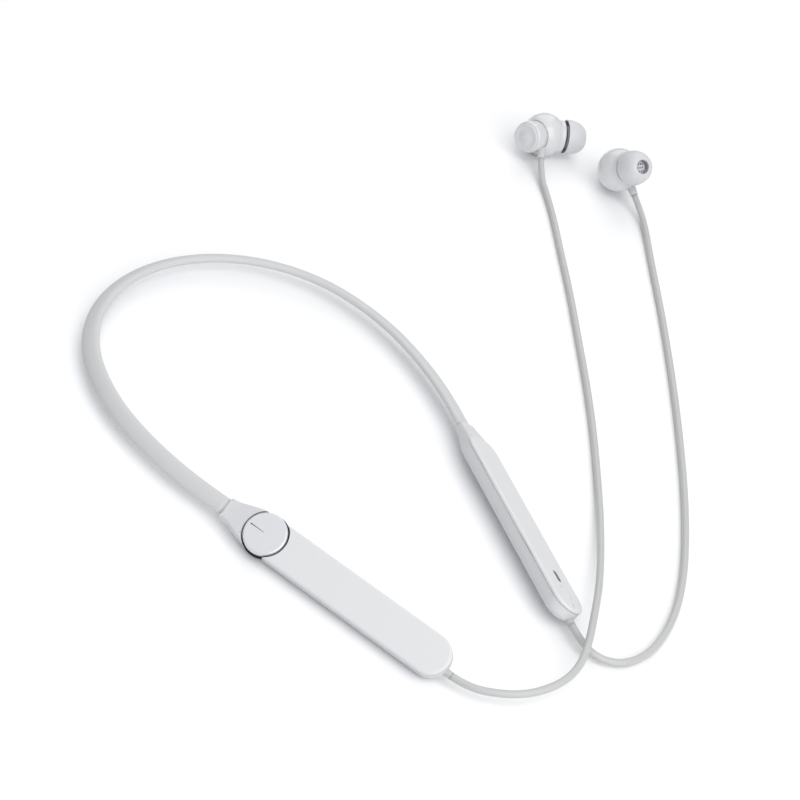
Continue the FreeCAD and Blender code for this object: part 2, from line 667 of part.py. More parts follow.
def bud(name, centre, forward, backward, route):
    """One earbud; forward points out of the ear tip and backward out of the magnet cap."""
    end = NECK + Vector(*route[-1])
    cord_way = (NECK + Vector(*route[-2])) - end
    centre = NECK + Vector(*centre)
    forward = Vector(*forward).normalize()
    backward = Vector(*backward).normalize()
    front = facing(centre, forward, cord_way)
    back = facing(centre, backward, cord_way)
    blank = turned(name + "_chamber_blank", front, CHAMBER)
    seat_rad = barrel_rad + gap
    pocket = turned(name + "_seat_cut", back, [(0, seat), (seat_rad, seat), (seat_rad, barrel_end),
                                               (0, barrel_end)])
    keep(boolean("Cut", name + "_chamber", blank, pocket), name + "_chamber")
    keep(turned(name + "_rear_shell", back, BARREL), name + "_rear_shell")
    keep(turned(name + "_magnet_cap", back, CAP), name + "_magnet_cap")
    inner_end = barrel_end - wall
    keep(turned(name + "_magnet", back, [(0, inner_end - 1.2), (3.2, inner_end - 1.2), (3.2, inner_end),
                                         (0, inner_end)]), name + "_magnet")
    keep(turned(name + "_driver_magnet", front, [(0, -4.5), (3.6, -4.5), (3.6, -2.4), (0, -2.4)]),
         name + "_driver_magnet")
    keep(turned(name + "_driver_basket", front, [(3.6, -2.4), (6.0, -2.4), (6.0, -0.6), (5.6, -0.6),
                                                 (5.6, -1.8), (3.6, -1.8)]), name + "_driver_basket")
    keep(turned(name + "_diaphragm", front, [(0, 0.0), (2.6, -0.3), (6.0, -0.6), (6.0, -0.4),
                                             (2.6, -0.05), (0, 0.25)]), name + "_diaphragm")
    keep(turned(name + "_nozzle_mesh", front, [(0, 12.5), (bore, 12.5), (bore, 12.8), (0, 12.8)]),
         name + "_nozzle_mesh")
    keep(turned(name + "_dark_ring", front, [(nozzle, shoulder), (5.0, shoulder), (5.0, shoulder + 0.6),
                                             (nozzle, shoulder + 0.6)]), name + "_dark_ring")
    keep(turned(name + "_tip", front, TIP), name + "_tip")
    chamber_form = turned(name + "_chamber_form", front, OUTER)
    barrel_form = turned(name + "_barrel_form", back, [(0, 0), (barrel_rad, 0), (barrel_rad, barrel_end),
                                                       (0, barrel_end)])
    inner = end - cord_way.normalize() * 8.5
    sleeve = rod(name + "_sleeve_rod", end, inner, "Sizes.stub_rad")
    outside = boolean("Cut", name + "_sleeve_outside", sleeve, chamber_form)
    keep(boolean("Cut", name + "_sleeve", outside, barrel_form), name + "_sleeve")


bud("dial_bud", (-13.7, 174.8, 8.0), (0.500, 0.866, 0.017), (0.140, -0.972, 0.186), DIAL_CORD)
bud("charge_bud", (15.5, 186.4, 9.8), (0.742, -0.160, 0.651), (-0.594, 0.685, -0.4226), CHARGE_CORD)


# ---------------------------------------------------------------- checks and export

doc.recompute()
for thing in doc.Objects:
    state = set(thing.State)
    if state & {"Invalid", "Error"}:
        raise RuntimeError("%s is %s" % (thing.Name, sorted(state)))
whole_box = FreeCAD.BoundBox()
for node in nodes:
    shape = node.Shape
    if shape.isNull() or not shape.isValid() or len(shape.Solids) != 1:
        raise RuntimeError("%s has no single valid solid" % node.Label)
    if not node.Label.endswith("_cord"):
        whole_box.add(shape.BoundBox)
os.makedirs("parts", exist_ok=True)
for node in nodes:
    node.Shape.exportStep("parts/%s.step" % node.Label)
print("nodes", len(nodes))
print("box without cords", whole_box)
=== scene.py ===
import json
import math

import bmesh
import bpy
from mathutils import Matrix, Quaternion, Vector


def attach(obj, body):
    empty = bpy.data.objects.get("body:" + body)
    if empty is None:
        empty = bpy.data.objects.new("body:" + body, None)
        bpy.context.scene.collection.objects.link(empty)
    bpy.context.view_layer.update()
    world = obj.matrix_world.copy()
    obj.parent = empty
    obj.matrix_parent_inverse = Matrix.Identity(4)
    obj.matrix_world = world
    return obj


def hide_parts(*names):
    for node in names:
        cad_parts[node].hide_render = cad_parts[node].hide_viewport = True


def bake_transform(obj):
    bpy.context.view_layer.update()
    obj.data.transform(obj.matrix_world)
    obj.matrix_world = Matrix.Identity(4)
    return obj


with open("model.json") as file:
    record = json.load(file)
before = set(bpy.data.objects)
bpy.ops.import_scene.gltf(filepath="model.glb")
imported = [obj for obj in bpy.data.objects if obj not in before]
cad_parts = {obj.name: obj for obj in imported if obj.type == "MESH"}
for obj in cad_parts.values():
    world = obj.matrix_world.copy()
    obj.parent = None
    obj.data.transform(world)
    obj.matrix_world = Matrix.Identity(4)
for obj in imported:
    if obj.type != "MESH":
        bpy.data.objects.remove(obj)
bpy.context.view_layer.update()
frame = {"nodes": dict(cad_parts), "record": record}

MM = 0.001

# ------------------------------------------------------------ table, light and camera
# The earphones lie on a plain white table top under three large soft boxes, in a pale room.
# The camera looks down at them from beyond the dial pod, held slightly turned.

TABLE_HALF = 1.6
CAMERA_AT = Vector((0.35236, -0.44076, 0.4324))
CAMERA_AIM = Vector((-0.00048, -0.03384, 0.0))
CAMERA_TURN = math.radians(18.0)
CAMERA_LENS = 99.9


def material(name, colour, roughness):
    """New material; returns it with its node tree and its shader."""
    made = bpy.data.materials.new(name)
    made.use_nodes = True
    shader = made.node_tree.nodes["Principled BSDF"]
    shader.inputs["Base Color"].default_value = (*colour, 1.0)
    shader.inputs["Roughness"].default_value = roughness
    return made, made.node_tree, shader


table_white, tree, shader = material("table_white", (0.93, 0.93, 0.94), 0.6)
table = bpy.data.meshes.new("table_top")
table.from_pydata([(-TABLE_HALF, -TABLE_HALF, 0), (TABLE_HALF, -TABLE_HALF, 0),
                   (TABLE_HALF, TABLE_HALF, 0), (-TABLE_HALF, TABLE_HALF, 0)], [], [(0, 1, 2, 3)])
table.materials.append(table_white)
table_top = bpy.data.objects.new("table_top", table)
table_top.location.z = -0.0002
bpy.context.collection.objects.link(table_top)

world = bpy.data.worlds.new("pale_room")
world.use_nodes = True
world.node_tree.nodes["Background"].inputs["Color"].default_value = (0.96, 0.97, 1.0, 1.0)
world.node_tree.nodes["Background"].inputs["Strength"].default_value = 0.38
bpy.context.scene.world = world


def soft_box(name, place, aim, width, power):
    """Square soft light at place, turned towards aim; width in metres, power in watts."""
    lamp = bpy.data.lights.new(name, "AREA")
    lamp.shape = "SQUARE"
    lamp.size = width
    lamp.energy = power
    lamp_object = bpy.data.objects.new(name, lamp)
    lamp_object.location = place
    lamp_object.rotation_euler = (Vector(aim) - Vector(place)).to_track_quat("-Z", "Y").to_euler()
    bpy.context.collection.objects.link(lamp_object)


soft_box("soft_box_right", (0.8, -0.2, 0.85), (0, 0, 0), 1.3, 12.0)
soft_box("soft_box_above", (0.0, -0.1, 1.3), (0, 0, 0), 1.3, 4.0)
soft_box("soft_box_behind", (-0.75, 0.55, 0.75), (0, 0, 0), 1.1, 4.5)

bpy.context.scene.view_settings.view_transform = "Standard"
camera = bpy.data.cameras.new("camera")
camera.lens = CAMERA_LENS
camera_object = bpy.data.objects.new("camera", camera)
camera_object.rotation_mode = "QUATERNION"
camera_object.location = CAMERA_AT
look = (CAMERA_AIM - CAMERA_AT).to_track_quat("-Z", "Y")
camera_object.rotation_quaternion = look @ Quaternion((0, 0, 1), CAMERA_TURN)
bpy.context.collection.objects.link(camera_object)
bpy.context.scene.camera = camera_object

# ------------------------------------------------------------ bud cords
# Two round cords of soft satin elastomer over thin leads, each moulded into a pod's end and into a
# bud's sleeve. Each lies where it was left; the dial pod's cord passes over the other one.

NECK_BACK = Vector((-79.04, -71.56, 0.0))
CORD_DIAMETER = 2.2
DIAL_CORD = [
    (178.94, -22.53, 3.6), (184.2, -21.0, 3.8), (190.2, -15.8, 4.8), (195.0, -8.4, 5.8),
    (196.8, 1.2, 7.1), (195.0, 9.6, 7.9), (189.8, 17.6, 8.3), (182.0, 26.8, 8.3),
    (172.2, 38.4, 6.2), (160.4, 50.6, 3.7), (146.6, 63.4, 1.9), (131.4, 75.9, 1.2),
    (114.4, 89.2, 1.15), (96.2, 102.3, 1.15), (77.0, 115.4, 1.15), (56.8, 129.2, 1.15),
    (38.0, 141.2, 1.15), (21.5, 152.0, 1.15), (9.0, 159.2, 1.2), (1.6, 162.7, 2.0),
    (-4.9, 167.0, 4.73),
]
CHARGE_CORD = [
    (178.94, 22.53, 3.6), (184.9, 20.9, 3.4), (191.4, 22.4, 2.1), (195.7, 28.4, 1.3),
    (196.4, 37.2, 1.15), (193.6, 46.6, 1.15), (187.6, 57.8, 1.15), (178.4, 69.8, 1.15),
    (165.6, 83.0, 1.15), (149.6, 97.6, 1.15), (132.4, 112.0, 1.15), (114.4, 126.5, 1.15),
    (95.6, 140.9, 1.15), (75.6, 155.8, 1.15), (57.4, 168.6, 1.17), (43.2, 179.0, 1.27),
    (33.2, 185.6, 1.9), (25.4, 187.1, 5.26),
]


def bump(tree, shader, scale, strength, distance, detail=4.0):
    """Fine uneven surface from noise in the object's own coordinates; scale is per metre."""
    nodes, links = tree.nodes, tree.links
    place = nodes.new("ShaderNodeTexCoord")
    grain = nodes.new("ShaderNodeTexNoise")
    grain.inputs["Scale"].default_value = scale
    grain.inputs["Detail"].default_value = detail
    rise = nodes.new("ShaderNodeBump")
    rise.inputs["Strength"].default_value = strength
    rise.inputs["Distance"].default_value = distance
    links.new(place.outputs["Object"], grain.inputs["Vector"])
    links.new(grain.outputs["Fac"], rise.inputs["Height"])
    links.new(rise.outputs["Normal"], shader.inputs["Normal"])
    return grain


def mottle(tree, shader, grain, colour, spread, rough_low, rough_high):
    """Very slight change of colour and roughness over the surface, from the same noise."""
    nodes, links = tree.nodes, tree.links
    tint = nodes.new("ShaderNodeValToRGB")
    tint.color_ramp.elements[0].position = 0.3
    tint.color_ramp.elements[1].position = 0.7
    tint.color_ramp.elements[0].color = (*[part * (1 - spread) for part in colour], 1.0)
    tint.color_ramp.elements[1].color = (*colour, 1.0)
    polish = nodes.new("ShaderNodeMapRange")
    polish.inputs["To Min"].default_value = rough_low
    polish.inputs["To Max"].default_value = rough_high
    links.new(grain.outputs["Fac"], tint.inputs["Fac"])
    links.new(tint.outputs["Color"], shader.inputs["Base Color"])
    links.new(grain.outputs["Fac"], polish.inputs["Value"])
    links.new(polish.outputs["Result"], shader.inputs["Roughness"])


CORD_GREY = (0.505, 0.508, 0.502)
cord_elastomer, tree, shader = material("cord_elastomer", CORD_GREY, 0.4)
shader.inputs["Coat Weight"].default_value = 0.15
shader.inputs["Coat Roughness"].default_value = 0.35
mottle(tree, shader, bump(tree, shader, 2500.0, 0.12, 0.00004), CORD_GREY, 0.03, 0.34, 0.46)


def route_points(name, route):
    """Points read from a smooth curve whose control points are the route's points."""
    curve = bpy.data.curves.new(name, "CURVE")
    curve.dimensions = "3D"
    spline = curve.splines.new("NURBS")
    spline.points.add(len(route) - 1)
    for point, spot in zip(spline.points, route):
        point.co = (*((NECK_BACK + Vector(spot)) * MM), 1.0)
    spline.order_u = 3
    spline.use_endpoint_u = True
    spline.resolution_u = 12
    line = bpy.data.objects.new(name, curve)
    bpy.context.collection.objects.link(line)
    bpy.context.view_layer.update()
    graph = bpy.context.evaluated_depsgraph_get()
    traced = bpy.data.meshes.new_from_object(line.evaluated_get(graph))
    points = [vertex.co.copy() for vertex in traced.vertices]
    bpy.data.meshes.remove(traced)
    bpy.data.objects.remove(line)
    return points


def link_mesh(name, points, faces, finish):
    """Smooth-shaded object from points and faces."""
    mesh = bpy.data.meshes.new(name)
    mesh.from_pydata([tuple(point) for point in points], [], faces)
    mesh.update()
    mesh.polygons.foreach_set("use_smooth", [True] * len(mesh.polygons))
    if finish:
        mesh.materials.append(finish)
    piece = bpy.data.objects.new(name, mesh)
    bpy.context.collection.objects.link(piece)
    return piece


def tube(name, points, radius, finish, around=28):
    """Round tube along points, with closed ends."""
    spots, faces = [], []
    side = None
    for index, point in enumerate(points):
        before = points[max(index - 1, 0)]
        after = points[min(index + 1, len(points) - 1)]
        way = (after - before).normalized()
        side = Vector((0, 0, 1)).cross(way).normalized() if side is None else side
        side = (side - way * side.dot(way)).normalized()
        up = way.cross(side)
        for turn in range(around):
            angle = 2 * math.pi * turn / around
            spots.append(point + (side * math.cos(angle) + up * math.sin(angle)) * radius)
        if index:
            low = (index - 1) * around
            for turn in range(around):
                following = (turn + 1) % around
                faces.append((low + turn, low + following, low + around + following, low + around + turn))
    faces.append(tuple(reversed(range(around))))
    faces.append(tuple(range(len(spots) - around, len(spots))))
    return link_mesh(name, spots, faces, finish)


charge_points = route_points("charge_cord_line", CHARGE_CORD)
charge_cord = tube("charge_cord_sleeve", charge_points, CORD_DIAMETER / 2 * MM, cord_elastomer)
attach(charge_cord, "root")
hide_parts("charge_cord")

dial_points = route_points("dial_cord_line", DIAL_CORD)
dial_cord = tube("dial_cord_sleeve", dial_points, CORD_DIAMETER / 2 * MM, cord_elastomer)
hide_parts("dial_cord")
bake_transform(dial_cord)

# ------------------------------------------------------------ neckband
# A flattened strap of soft matt silicone moulded over a spring-steel wire and a few leads. Its broad
# face leans outward and up all the way round, and its ends are moulded into the pods' collars.

REST_HEIGHT = 4.85
LEAN = math.radians(59.0)
BAND_ARCS = [(50.2, 70.5), (78.2, 20.3), (123.0, 15.3)]
BAND_LEAD_IN = 8.3
BAND_WIDE = 5.6
BAND_THICK = 2.7
BAND_ROUNDNESS = 0.86
AROUND_BAND = 40
SILICONE_GREY = (0.575, 0.585, 0.59)


def band_half(step=1.2):
    """(point, heading) along the band's far half, from the back of the neck."""
    heading = math.pi / 2
    point = Vector((0, 0, REST_HEIGHT))
    found = [(point.copy(), heading)]
    for radius, degrees in BAND_ARCS:
        turn = math.radians(degrees)
        centre = point + Vector((math.sin(heading), -math.cos(heading), 0)) * radius
        count = math.ceil(radius * turn / step)
        for index in range(1, count + 1):
            way = heading - turn * index / count
            spot = centre + Vector((-math.sin(way), math.cos(way), 0)) * radius
            found.append((spot, way))
        point, heading = found[-1]
    ahead = Vector((math.cos(heading), math.sin(heading), 0))
    for index in range(1, 5):
        found.append((point + ahead * BAND_LEAD_IN * index / 4, heading))
    return found


far_half = band_half()
near_half = [(Vector((spot.x, -spot.y, spot.z)), math.pi - way) for spot, way in far_half[:0:-1]]
band_line = near_half + far_half

silicone, tree, shader = material("band_silicone", SILICONE_GREY, 0.55)
shader.inputs["Sheen Weight"].default_value = 0.08
mottle(tree, shader, bump(tree, shader, 3200.0, 0.18, 0.00003), SILICONE_GREY, 0.02, 0.5, 0.62)


def band_section(angle):
    """Strap's outline at an angle round it: a soft-cornered oval, in (across, through)."""
    cosine, sine = math.cos(angle), math.sin(angle)
    across = math.copysign(abs(cosine) ** BAND_ROUNDNESS, cosine) * BAND_WIDE / 2
    through = math.copysign(abs(sine) ** BAND_ROUNDNESS, sine) * BAND_THICK / 2
    return across, through


spots, faces = [], []
for index, (spot, way) in enumerate(band_line):
    outward = Vector((-math.sin(way), math.cos(way), 0))
    face = outward * math.cos(LEAN) + Vector((0, 0, 1)) * math.sin(LEAN)
    across = outward * math.sin(LEAN) - Vector((0, 0, 1)) * math.cos(LEAN)
    for turn in range(AROUND_BAND):
        side, depth = band_section(2 * math.pi * turn / AROUND_BAND)
        spots.append((NECK_BACK + spot + across * side + face * depth) * MM)
    if index:
        low = (index - 1) * AROUND_BAND
        for turn in range(AROUND_BAND):
            following = (turn + 1) % AROUND_BAND
            faces.append((low + turn, low + AROUND_BAND + turn, low + AROUND_BAND + following, low + following))
faces.append(tuple(range(AROUND_BAND)))
faces.append(tuple(reversed(range(len(spots) - AROUND_BAND, len(spots)))))
neckband = link_mesh("neckband_strap", spots, faces, silicone)
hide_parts("neckband_skin")
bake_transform(neckband)

# ------------------------------------------------------------ spring wire and leads
# Inside the strap: a drawn spring-steel wire along its middle, and beside it a round bundle of fine
# insulated leads. Both are moulded in and run a little way into the pods' collars.

WIRE_RADIUS = 0.5
BUNDLE_RADIUS = 0.55
LEADS_ASIDE = 1.5
REACH_INTO_PODS = 6.0
WIRE_STEEL = (0.55, 0.55, 0.57)
LEAD_GREY = (0.70, 0.70, 0.71)


def band_offset(outward, rise):
    """Points along the strap's line, moved outward and up, with ends that reach into the pods."""
    found = []
    for spot, way in band_line:
        side = Vector((-math.sin(way), math.cos(way), 0))
        found.append((NECK_BACK + spot + side * outward + Vector((0, 0, rise))) * MM)
    first = (found[0] - found[1]).normalized() * REACH_INTO_PODS * MM
    last = (found[-1] - found[-2]).normalized() * REACH_INTO_PODS * MM
    return [found[0] + first, *found, found[-1] + last]


spring_steel, tree, shader = material("spring_steel", WIRE_STEEL, 0.3)
shader.inputs["Metallic"].default_value = 1.0
mottle(tree, shader, bump(tree, shader, 2000.0, 0.1, 0.00001), WIRE_STEEL, 0.05, 0.24, 0.36)
wire = tube("spring_wire", band_offset(0.0, 0.0), WIRE_RADIUS * MM, spring_steel, 16)
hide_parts("memory_wire")
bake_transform(wire)

lead_insulation, tree, shader = material("lead_insulation", LEAD_GREY, 0.5)
mottle(tree, shader, bump(tree, shader, 2500.0, 0.1, 0.00001), LEAD_GREY, 0.03, 0.45, 0.55)
leads_line = band_offset(LEADS_ASIDE * math.sin(LEAN), -LEADS_ASIDE * math.cos(LEAN))
leads = tube("lead_bundle", leads_line, BUNDLE_RADIUS * MM, lead_insulation, 16)
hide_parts("neckband_leads")
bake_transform(leads)

# ------------------------------------------------------------ pods: shells and covers
# Each pod is a moulded back shell with a tapered collar for the strap, closed by a cover with a soft
# matt finish. The cover snaps on along a fine joint. On the charging pod it has a round start, a little
# proud of the collar, which has a soft dimple there. The dial pod's shell and cover leave a round well.

POD_LENGTH = 79.4
POD_HALF = 6.0
POD_TOP = 2.9
PARTING = 1.8
JOINT_GAP = 0.07
FACE_ROUND = 0.8
BACK_ROUND = 2.6
COLLAR_LENGTH = 12.0
COLLAR_HALF = 3.3
COLLAR_TOP = 1.85
COLLAR_FACE_ROUND = 1.2
COLLAR_BACK_ROUND = 1.5
CAVITY_START = 19.0
CAVITY_END = 74.0
CAVITY_HALF = 4.9
CAVITY_FLOOR = -1.95
OVER_ALL = 8.0
DIAL_AT = 14.75
WELL_RADIUS = 6.95
WELL_FLOOR = 0.4
SHAFT_ROOM_RADIUS = 4.7
PLATE_START = 6.4
COLLAR_FACE = 2.1
DIMPLE_RADIUS = 2.1
DIMPLE_AT = (5.1, -0.6, 3.85)
COVER_WHITE = (0.685, 0.69, 0.70)
SHELL_GREY = (0.64, 0.645, 0.655)


def pod_matrix(side):
    """Pod's own axes: X along it, Z out of its face. side is -1 for the dial pod, +1 for charging."""
    spot, way = far_half[-1]
    turned = -way
    along = Vector((math.cos(turned), -side * math.sin(turned), 0))
    outward = Vector((math.sin(turned), side * math.cos(turned), 0))
    face = outward * math.cos(LEAN) + Vector((0, 0, 1)) * math.sin(LEAN)
    across = face.cross(along)
    start = (NECK_BACK + Vector((spot.x, side * spot.y, spot.z))) * MM
    turn = Matrix((along, across, face)).transposed().to_4x4()
    return Matrix.Translation(start) @ turn @ Matrix.Scale(MM, 4)


def ease(share):
    """Share from 0 to 1 with a soft start and a soft end."""
    share = min(max(share, 0.0), 1.0)
    return share * share * (3 - 2 * share)


def blend_size(low, high, share):
    """Size at a share of the way from low to high."""
    return low + (high - low) * share


def quarter(centre_out, centre_up, radius, first, last, count):
    """Points round a corner of the section; angles in degrees."""
    found = []
    for index in range(count + 1):
        angle = math.radians(first + (last - first) * index / count)
        found.append((centre_out + radius * math.cos(angle), centre_up + radius * math.sin(angle)))
    return found


def rim_profile(x):
    """Half outline of the pod's section, from the middle of its face round to the middle of its back."""
    share = min(x / COLLAR_LENGTH, 1.0)
    grow = 0.45 * share + 0.55 * ease(share)
    half = blend_size(COLLAR_HALF, POD_HALF, grow)
    top = blend_size(COLLAR_TOP, POD_TOP, ease(share * 1.1))
    back_round = blend_size(COLLAR_BACK_ROUND, BACK_ROUND, grow)
    face_round = blend_size(COLLAR_FACE_ROUND, FACE_ROUND, grow)
    outline = [(0.0, top), (half * 0.45, top)]
    outline += quarter(half - face_round, top - face_round, face_round, 90, 0, 8)
    outline += quarter(half - back_round, -top + back_round, back_round, 0, -90, 12)
    outline += [(half * 0.3, -top), (0.0, -top)]
    return outline


def pod_form(name, matrix):
    """Closed outer form of a pod: half outlines swept down one side, round the end and back."""
    end_centre = POD_LENGTH - POD_HALF
    stations = [(COLLAR_LENGTH * index / 20, 90.0) for index in range(21)]
    stations += [(COLLAR_LENGTH + (end_centre - COLLAR_LENGTH) * index / 30, 90.0) for index in range(1, 31)]
    stations += [(end_centre, 90.0 - 180.0 * index / 40) for index in range(1, 40)]
    stations += [(x, -90.0) for x, angle in reversed(stations[:51])]
    rows = []
    for x, angle in stations:
        out_x, out_y = math.cos(math.radians(angle)), math.sin(math.radians(angle))
        rows.append([Vector((x + out * out_x, out * out_y, up)) for out, up in rim_profile(x)])
    made = bmesh.new()
    grid = [[made.verts.new(matrix @ spot) for spot in row] for row in rows]
    for row, after in zip(grid, grid[1:]):
        for index in range(len(row) - 1):
            made.faces.new((row[index], after[index], after[index + 1], row[index + 1]))
    made.faces.new([*grid[0], *reversed(grid[-1])])
    bmesh.ops.remove_doubles(made, verts=made.verts, dist=1e-6)
    bmesh.ops.recalc_face_normals(made, faces=made.faces)
    mesh = bpy.data.meshes.new(name)
    made.to_mesh(mesh)
    made.free()
    piece = bpy.data.objects.new(name, mesh)
    bpy.context.collection.objects.link(piece)
    return piece


def prism(name, matrix, outline, low, high):
    """Closed block over an outline in a pod's own axes."""
    count = len(outline)
    spots = [matrix @ Vector((x, y, low)) for x, y in outline]
    spots += [matrix @ Vector((x, y, high)) for x, y in outline]
    faces = [tuple(reversed(range(count))), tuple(range(count, 2 * count))]
    for index in range(count):
        following = (index + 1) % count
        faces.append((index, following, count + following, count + index))
    return link_mesh(name, spots, faces, None)


def round_outline(centre_x, centre_y, radius, count=96):
    """Outline of a round hole."""
    return [(centre_x + radius * math.cos(2 * math.pi * index / count),
             centre_y + radius * math.sin(2 * math.pi * index / count)) for index in range(count)]


def bake_modifiers(piece):
    """Piece's mesh as its modifiers leave it, with no modifier left on it."""
    bpy.context.view_layer.update()
    graph = bpy.context.evaluated_depsgraph_get()
    made = bpy.data.meshes.new_from_object(piece.evaluated_get(graph))
    piece.modifiers.clear()
    piece.data = made
    return piece


def carve(piece, tool, operation="DIFFERENCE", keep_tool=False):
    """Cuts the tool's form out of the piece, or keeps only what lies inside it."""
    cut = piece.modifiers.new("cut", "BOOLEAN")
    cut.operation = operation
    cut.solver = "EXACT"
    cut.object = tool
    bake_modifiers(piece)
    if not keep_tool:
        bpy.data.objects.remove(tool)
    return piece


def soften(piece, width, finish, segments=3):
    """Small rounding on the sharp edges, then even shading."""
    edge = piece.modifiers.new("rounding", "BEVEL")
    edge.width = width * MM
    edge.segments = segments
    edge.limit_method = "ANGLE"
    edge.angle_limit = math.radians(38)
    edge.use_clamp_overlap = True
    bake_modifiers(piece)
    piece.data.polygons.foreach_set("use_smooth", [True] * len(piece.data.polygons))
    even = piece.modifiers.new("even_shading", "WEIGHTED_NORMAL")
    even.keep_sharp = True
    bake_modifiers(piece)
    piece.data.materials.clear()
    piece.data.materials.append(finish)
    return piece


def copy_of(piece, name):
    """Second object with a mesh of its own."""
    twin = piece.copy()
    twin.data = piece.data.copy()
    twin.name = name
    bpy.context.collection.objects.link(twin)
    return twin


cover_plastic, tree, shader = material("cover_plastic", COVER_WHITE, 0.5)
mottle(tree, shader, bump(tree, shader, 5200.0, 0.22, 0.00002), COVER_WHITE, 0.015, 0.44, 0.56)
shell_plastic, tree, shader = material("shell_plastic", SHELL_GREY, 0.5)
mottle(tree, shader, bump(tree, shader, 5200.0, 0.28, 0.00002), SHELL_GREY, 0.02, 0.46, 0.6)

DIAL_POD = pod_matrix(-1)
CHARGE_POD = pod_matrix(+1)
wide = POD_HALF + 3
past = POD_LENGTH + 4
square_start = [(COLLAR_LENGTH, -wide), (past, -wide), (past, wide), (COLLAR_LENGTH, wide)]
start_round = POD_HALF + 1
straight_at = PLATE_START + start_round
round_start = [(straight_at, -start_round), (past, -start_round), (past, start_round),
               (straight_at, start_round)]
for index in range(1, 32):
    angle = math.pi / 2 + math.pi * index / 32
    round_start.append((straight_at + start_round * math.cos(angle), start_round * math.sin(angle)))
cavity = [(CAVITY_START, -CAVITY_HALF), (CAVITY_END, -CAVITY_HALF), (CAVITY_END, CAVITY_HALF),
          (CAVITY_START, CAVITY_HALF)]


def pod_halves(label, matrix, outline):
    """Pod's form split along its joint into a hollow shell and a cover over the outline."""
    form = pod_form(label + "_shell_moulding", matrix)
    cover = copy_of(form, label + "_cover_moulding")
    carve(cover, prism("over", matrix, outline, PARTING + JOINT_GAP, OVER_ALL), "INTERSECT")
    carve(form, prism("over", matrix, outline, PARTING - JOINT_GAP, OVER_ALL))
    carve(form, prism("hollow", matrix, cavity, CAVITY_FLOOR, PARTING + 1))
    return form, cover


dial_shell, dial_cover = pod_halves("dial_pod", DIAL_POD, square_start)
well = prism("well", DIAL_POD, round_outline(DIAL_AT, 0, WELL_RADIUS), WELL_FLOOR, OVER_ALL + 1)
carve(dial_shell, well, keep_tool=True)
carve(dial_cover, well)
carve(dial_shell, prism("under", DIAL_POD, round_outline(DIAL_AT, 0, SHAFT_ROOM_RADIUS), CAVITY_FLOOR, 2))

charge_shell, charge_cover = pod_halves("charging_pod", CHARGE_POD, round_start)
collar_face = [(1, -OVER_ALL), (14, -OVER_ALL), (14, OVER_ALL), (1, OVER_ALL)]
carve(charge_shell, prism("collar_face", CHARGE_POD, collar_face, COLLAR_FACE, OVER_ALL))
ball = bmesh.new()
bmesh.ops.create_uvsphere(ball, u_segments=48, v_segments=24, radius=DIMPLE_RADIUS * MM)
dimple_mesh = bpy.data.meshes.new("dimple")
ball.to_mesh(dimple_mesh)
ball.free()
dimple = bpy.data.objects.new("dimple", dimple_mesh)
dimple.location = CHARGE_POD @ Vector(DIMPLE_AT)
bpy.context.collection.objects.link(dimple)
carve(charge_shell, dimple)

# ------------------------------------------------------------ charging pod's fittings
# In the cover: a polished dark window over the status light, a flush power button of the cover's
# plastic, and a microphone hole. In the lower edge: a pressed steel charging socket.

WINDOW_AT = 65.5
WINDOW_LONG = 4.6
WINDOW_WIDE = 1.5
BUTTON_AT = 72.0
BUTTON_LONG = 5.0
BUTTON_WIDE = 2.6
BUTTON_GAP = 0.2
VOICE_HOLE_AT = 76.9
VOICE_HOLE_RADIUS = 0.4
PORT_AT = 38.0
PORT_LONG = 8.94
PORT_WIDE = 3.2
PORT_GAP = 0.1
PORT_WALL = 0.3
WINDOW_BLACK = (0.03, 0.03, 0.035)
PORT_STEEL = (0.58, 0.58, 0.60)


def slot_outline(centre_x, centre_y, length, width, count=24):
    """Outline of a slot with round ends, along X."""
    radius = width / 2
    reach = length / 2 - radius
    found = []
    for index in range(count + 1):
        angle = -math.pi / 2 + math.pi * index / count
        found.append((centre_x + reach + radius * math.cos(angle), centre_y + radius * math.sin(angle)))
    for index in range(count + 1):
        angle = math.pi / 2 + math.pi * index / count
        found.append((centre_x - reach + radius * math.cos(angle), centre_y + radius * math.sin(angle)))
    return found


PORT_TURN = Matrix.Translation(Vector((PORT_AT, 0, -0.25))) @ Matrix.Rotation(math.radians(-90), 4, "X")
PORT_AXES = CHARGE_POD @ PORT_TURN
window_room = slot_outline(WINDOW_AT, 0, WINDOW_LONG + 0.1, WINDOW_WIDE + 0.1)
button_room = slot_outline(BUTTON_AT, 0, BUTTON_LONG + BUTTON_GAP, BUTTON_WIDE + BUTTON_GAP)
voice_hole = round_outline(VOICE_HOLE_AT, 0, VOICE_HOLE_RADIUS, 24)
port_room = slot_outline(0, 0, PORT_LONG + PORT_GAP, PORT_WIDE + PORT_GAP)
carve(charge_cover, prism("window_hole", CHARGE_POD, window_room, 0, 5))
carve(charge_cover, prism("button_hole", CHARGE_POD, button_room, 0, 5))
carve(charge_shell, prism("button_hole", CHARGE_POD, button_room, 1.1, 5))
carve(charge_cover, prism("voice_hole", CHARGE_POD, voice_hole, 2.0, 5))
carve(charge_shell, prism("port_hole", PORT_AXES, port_room, -0.8, 9))

soften(dial_shell, 0.12, shell_plastic)
soften(dial_cover, 0.16, cover_plastic)
soften(charge_shell, 0.12, shell_plastic)
soften(charge_cover, 0.16, cover_plastic)
for piece, node, body, slot in ((dial_shell, "dial_pod_shell", "dial_arm", "pod_back_plastic"),
                                (dial_cover, "dial_pod_cover", "dial_arm", "pod_cover_plastic"),
                                (charge_shell, "charging_pod_shell", "root", "pod_back_plastic"),
                                (charge_cover, "charging_pod_cover", "root", "pod_cover_plastic")):
    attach(piece, body)
    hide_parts(node)

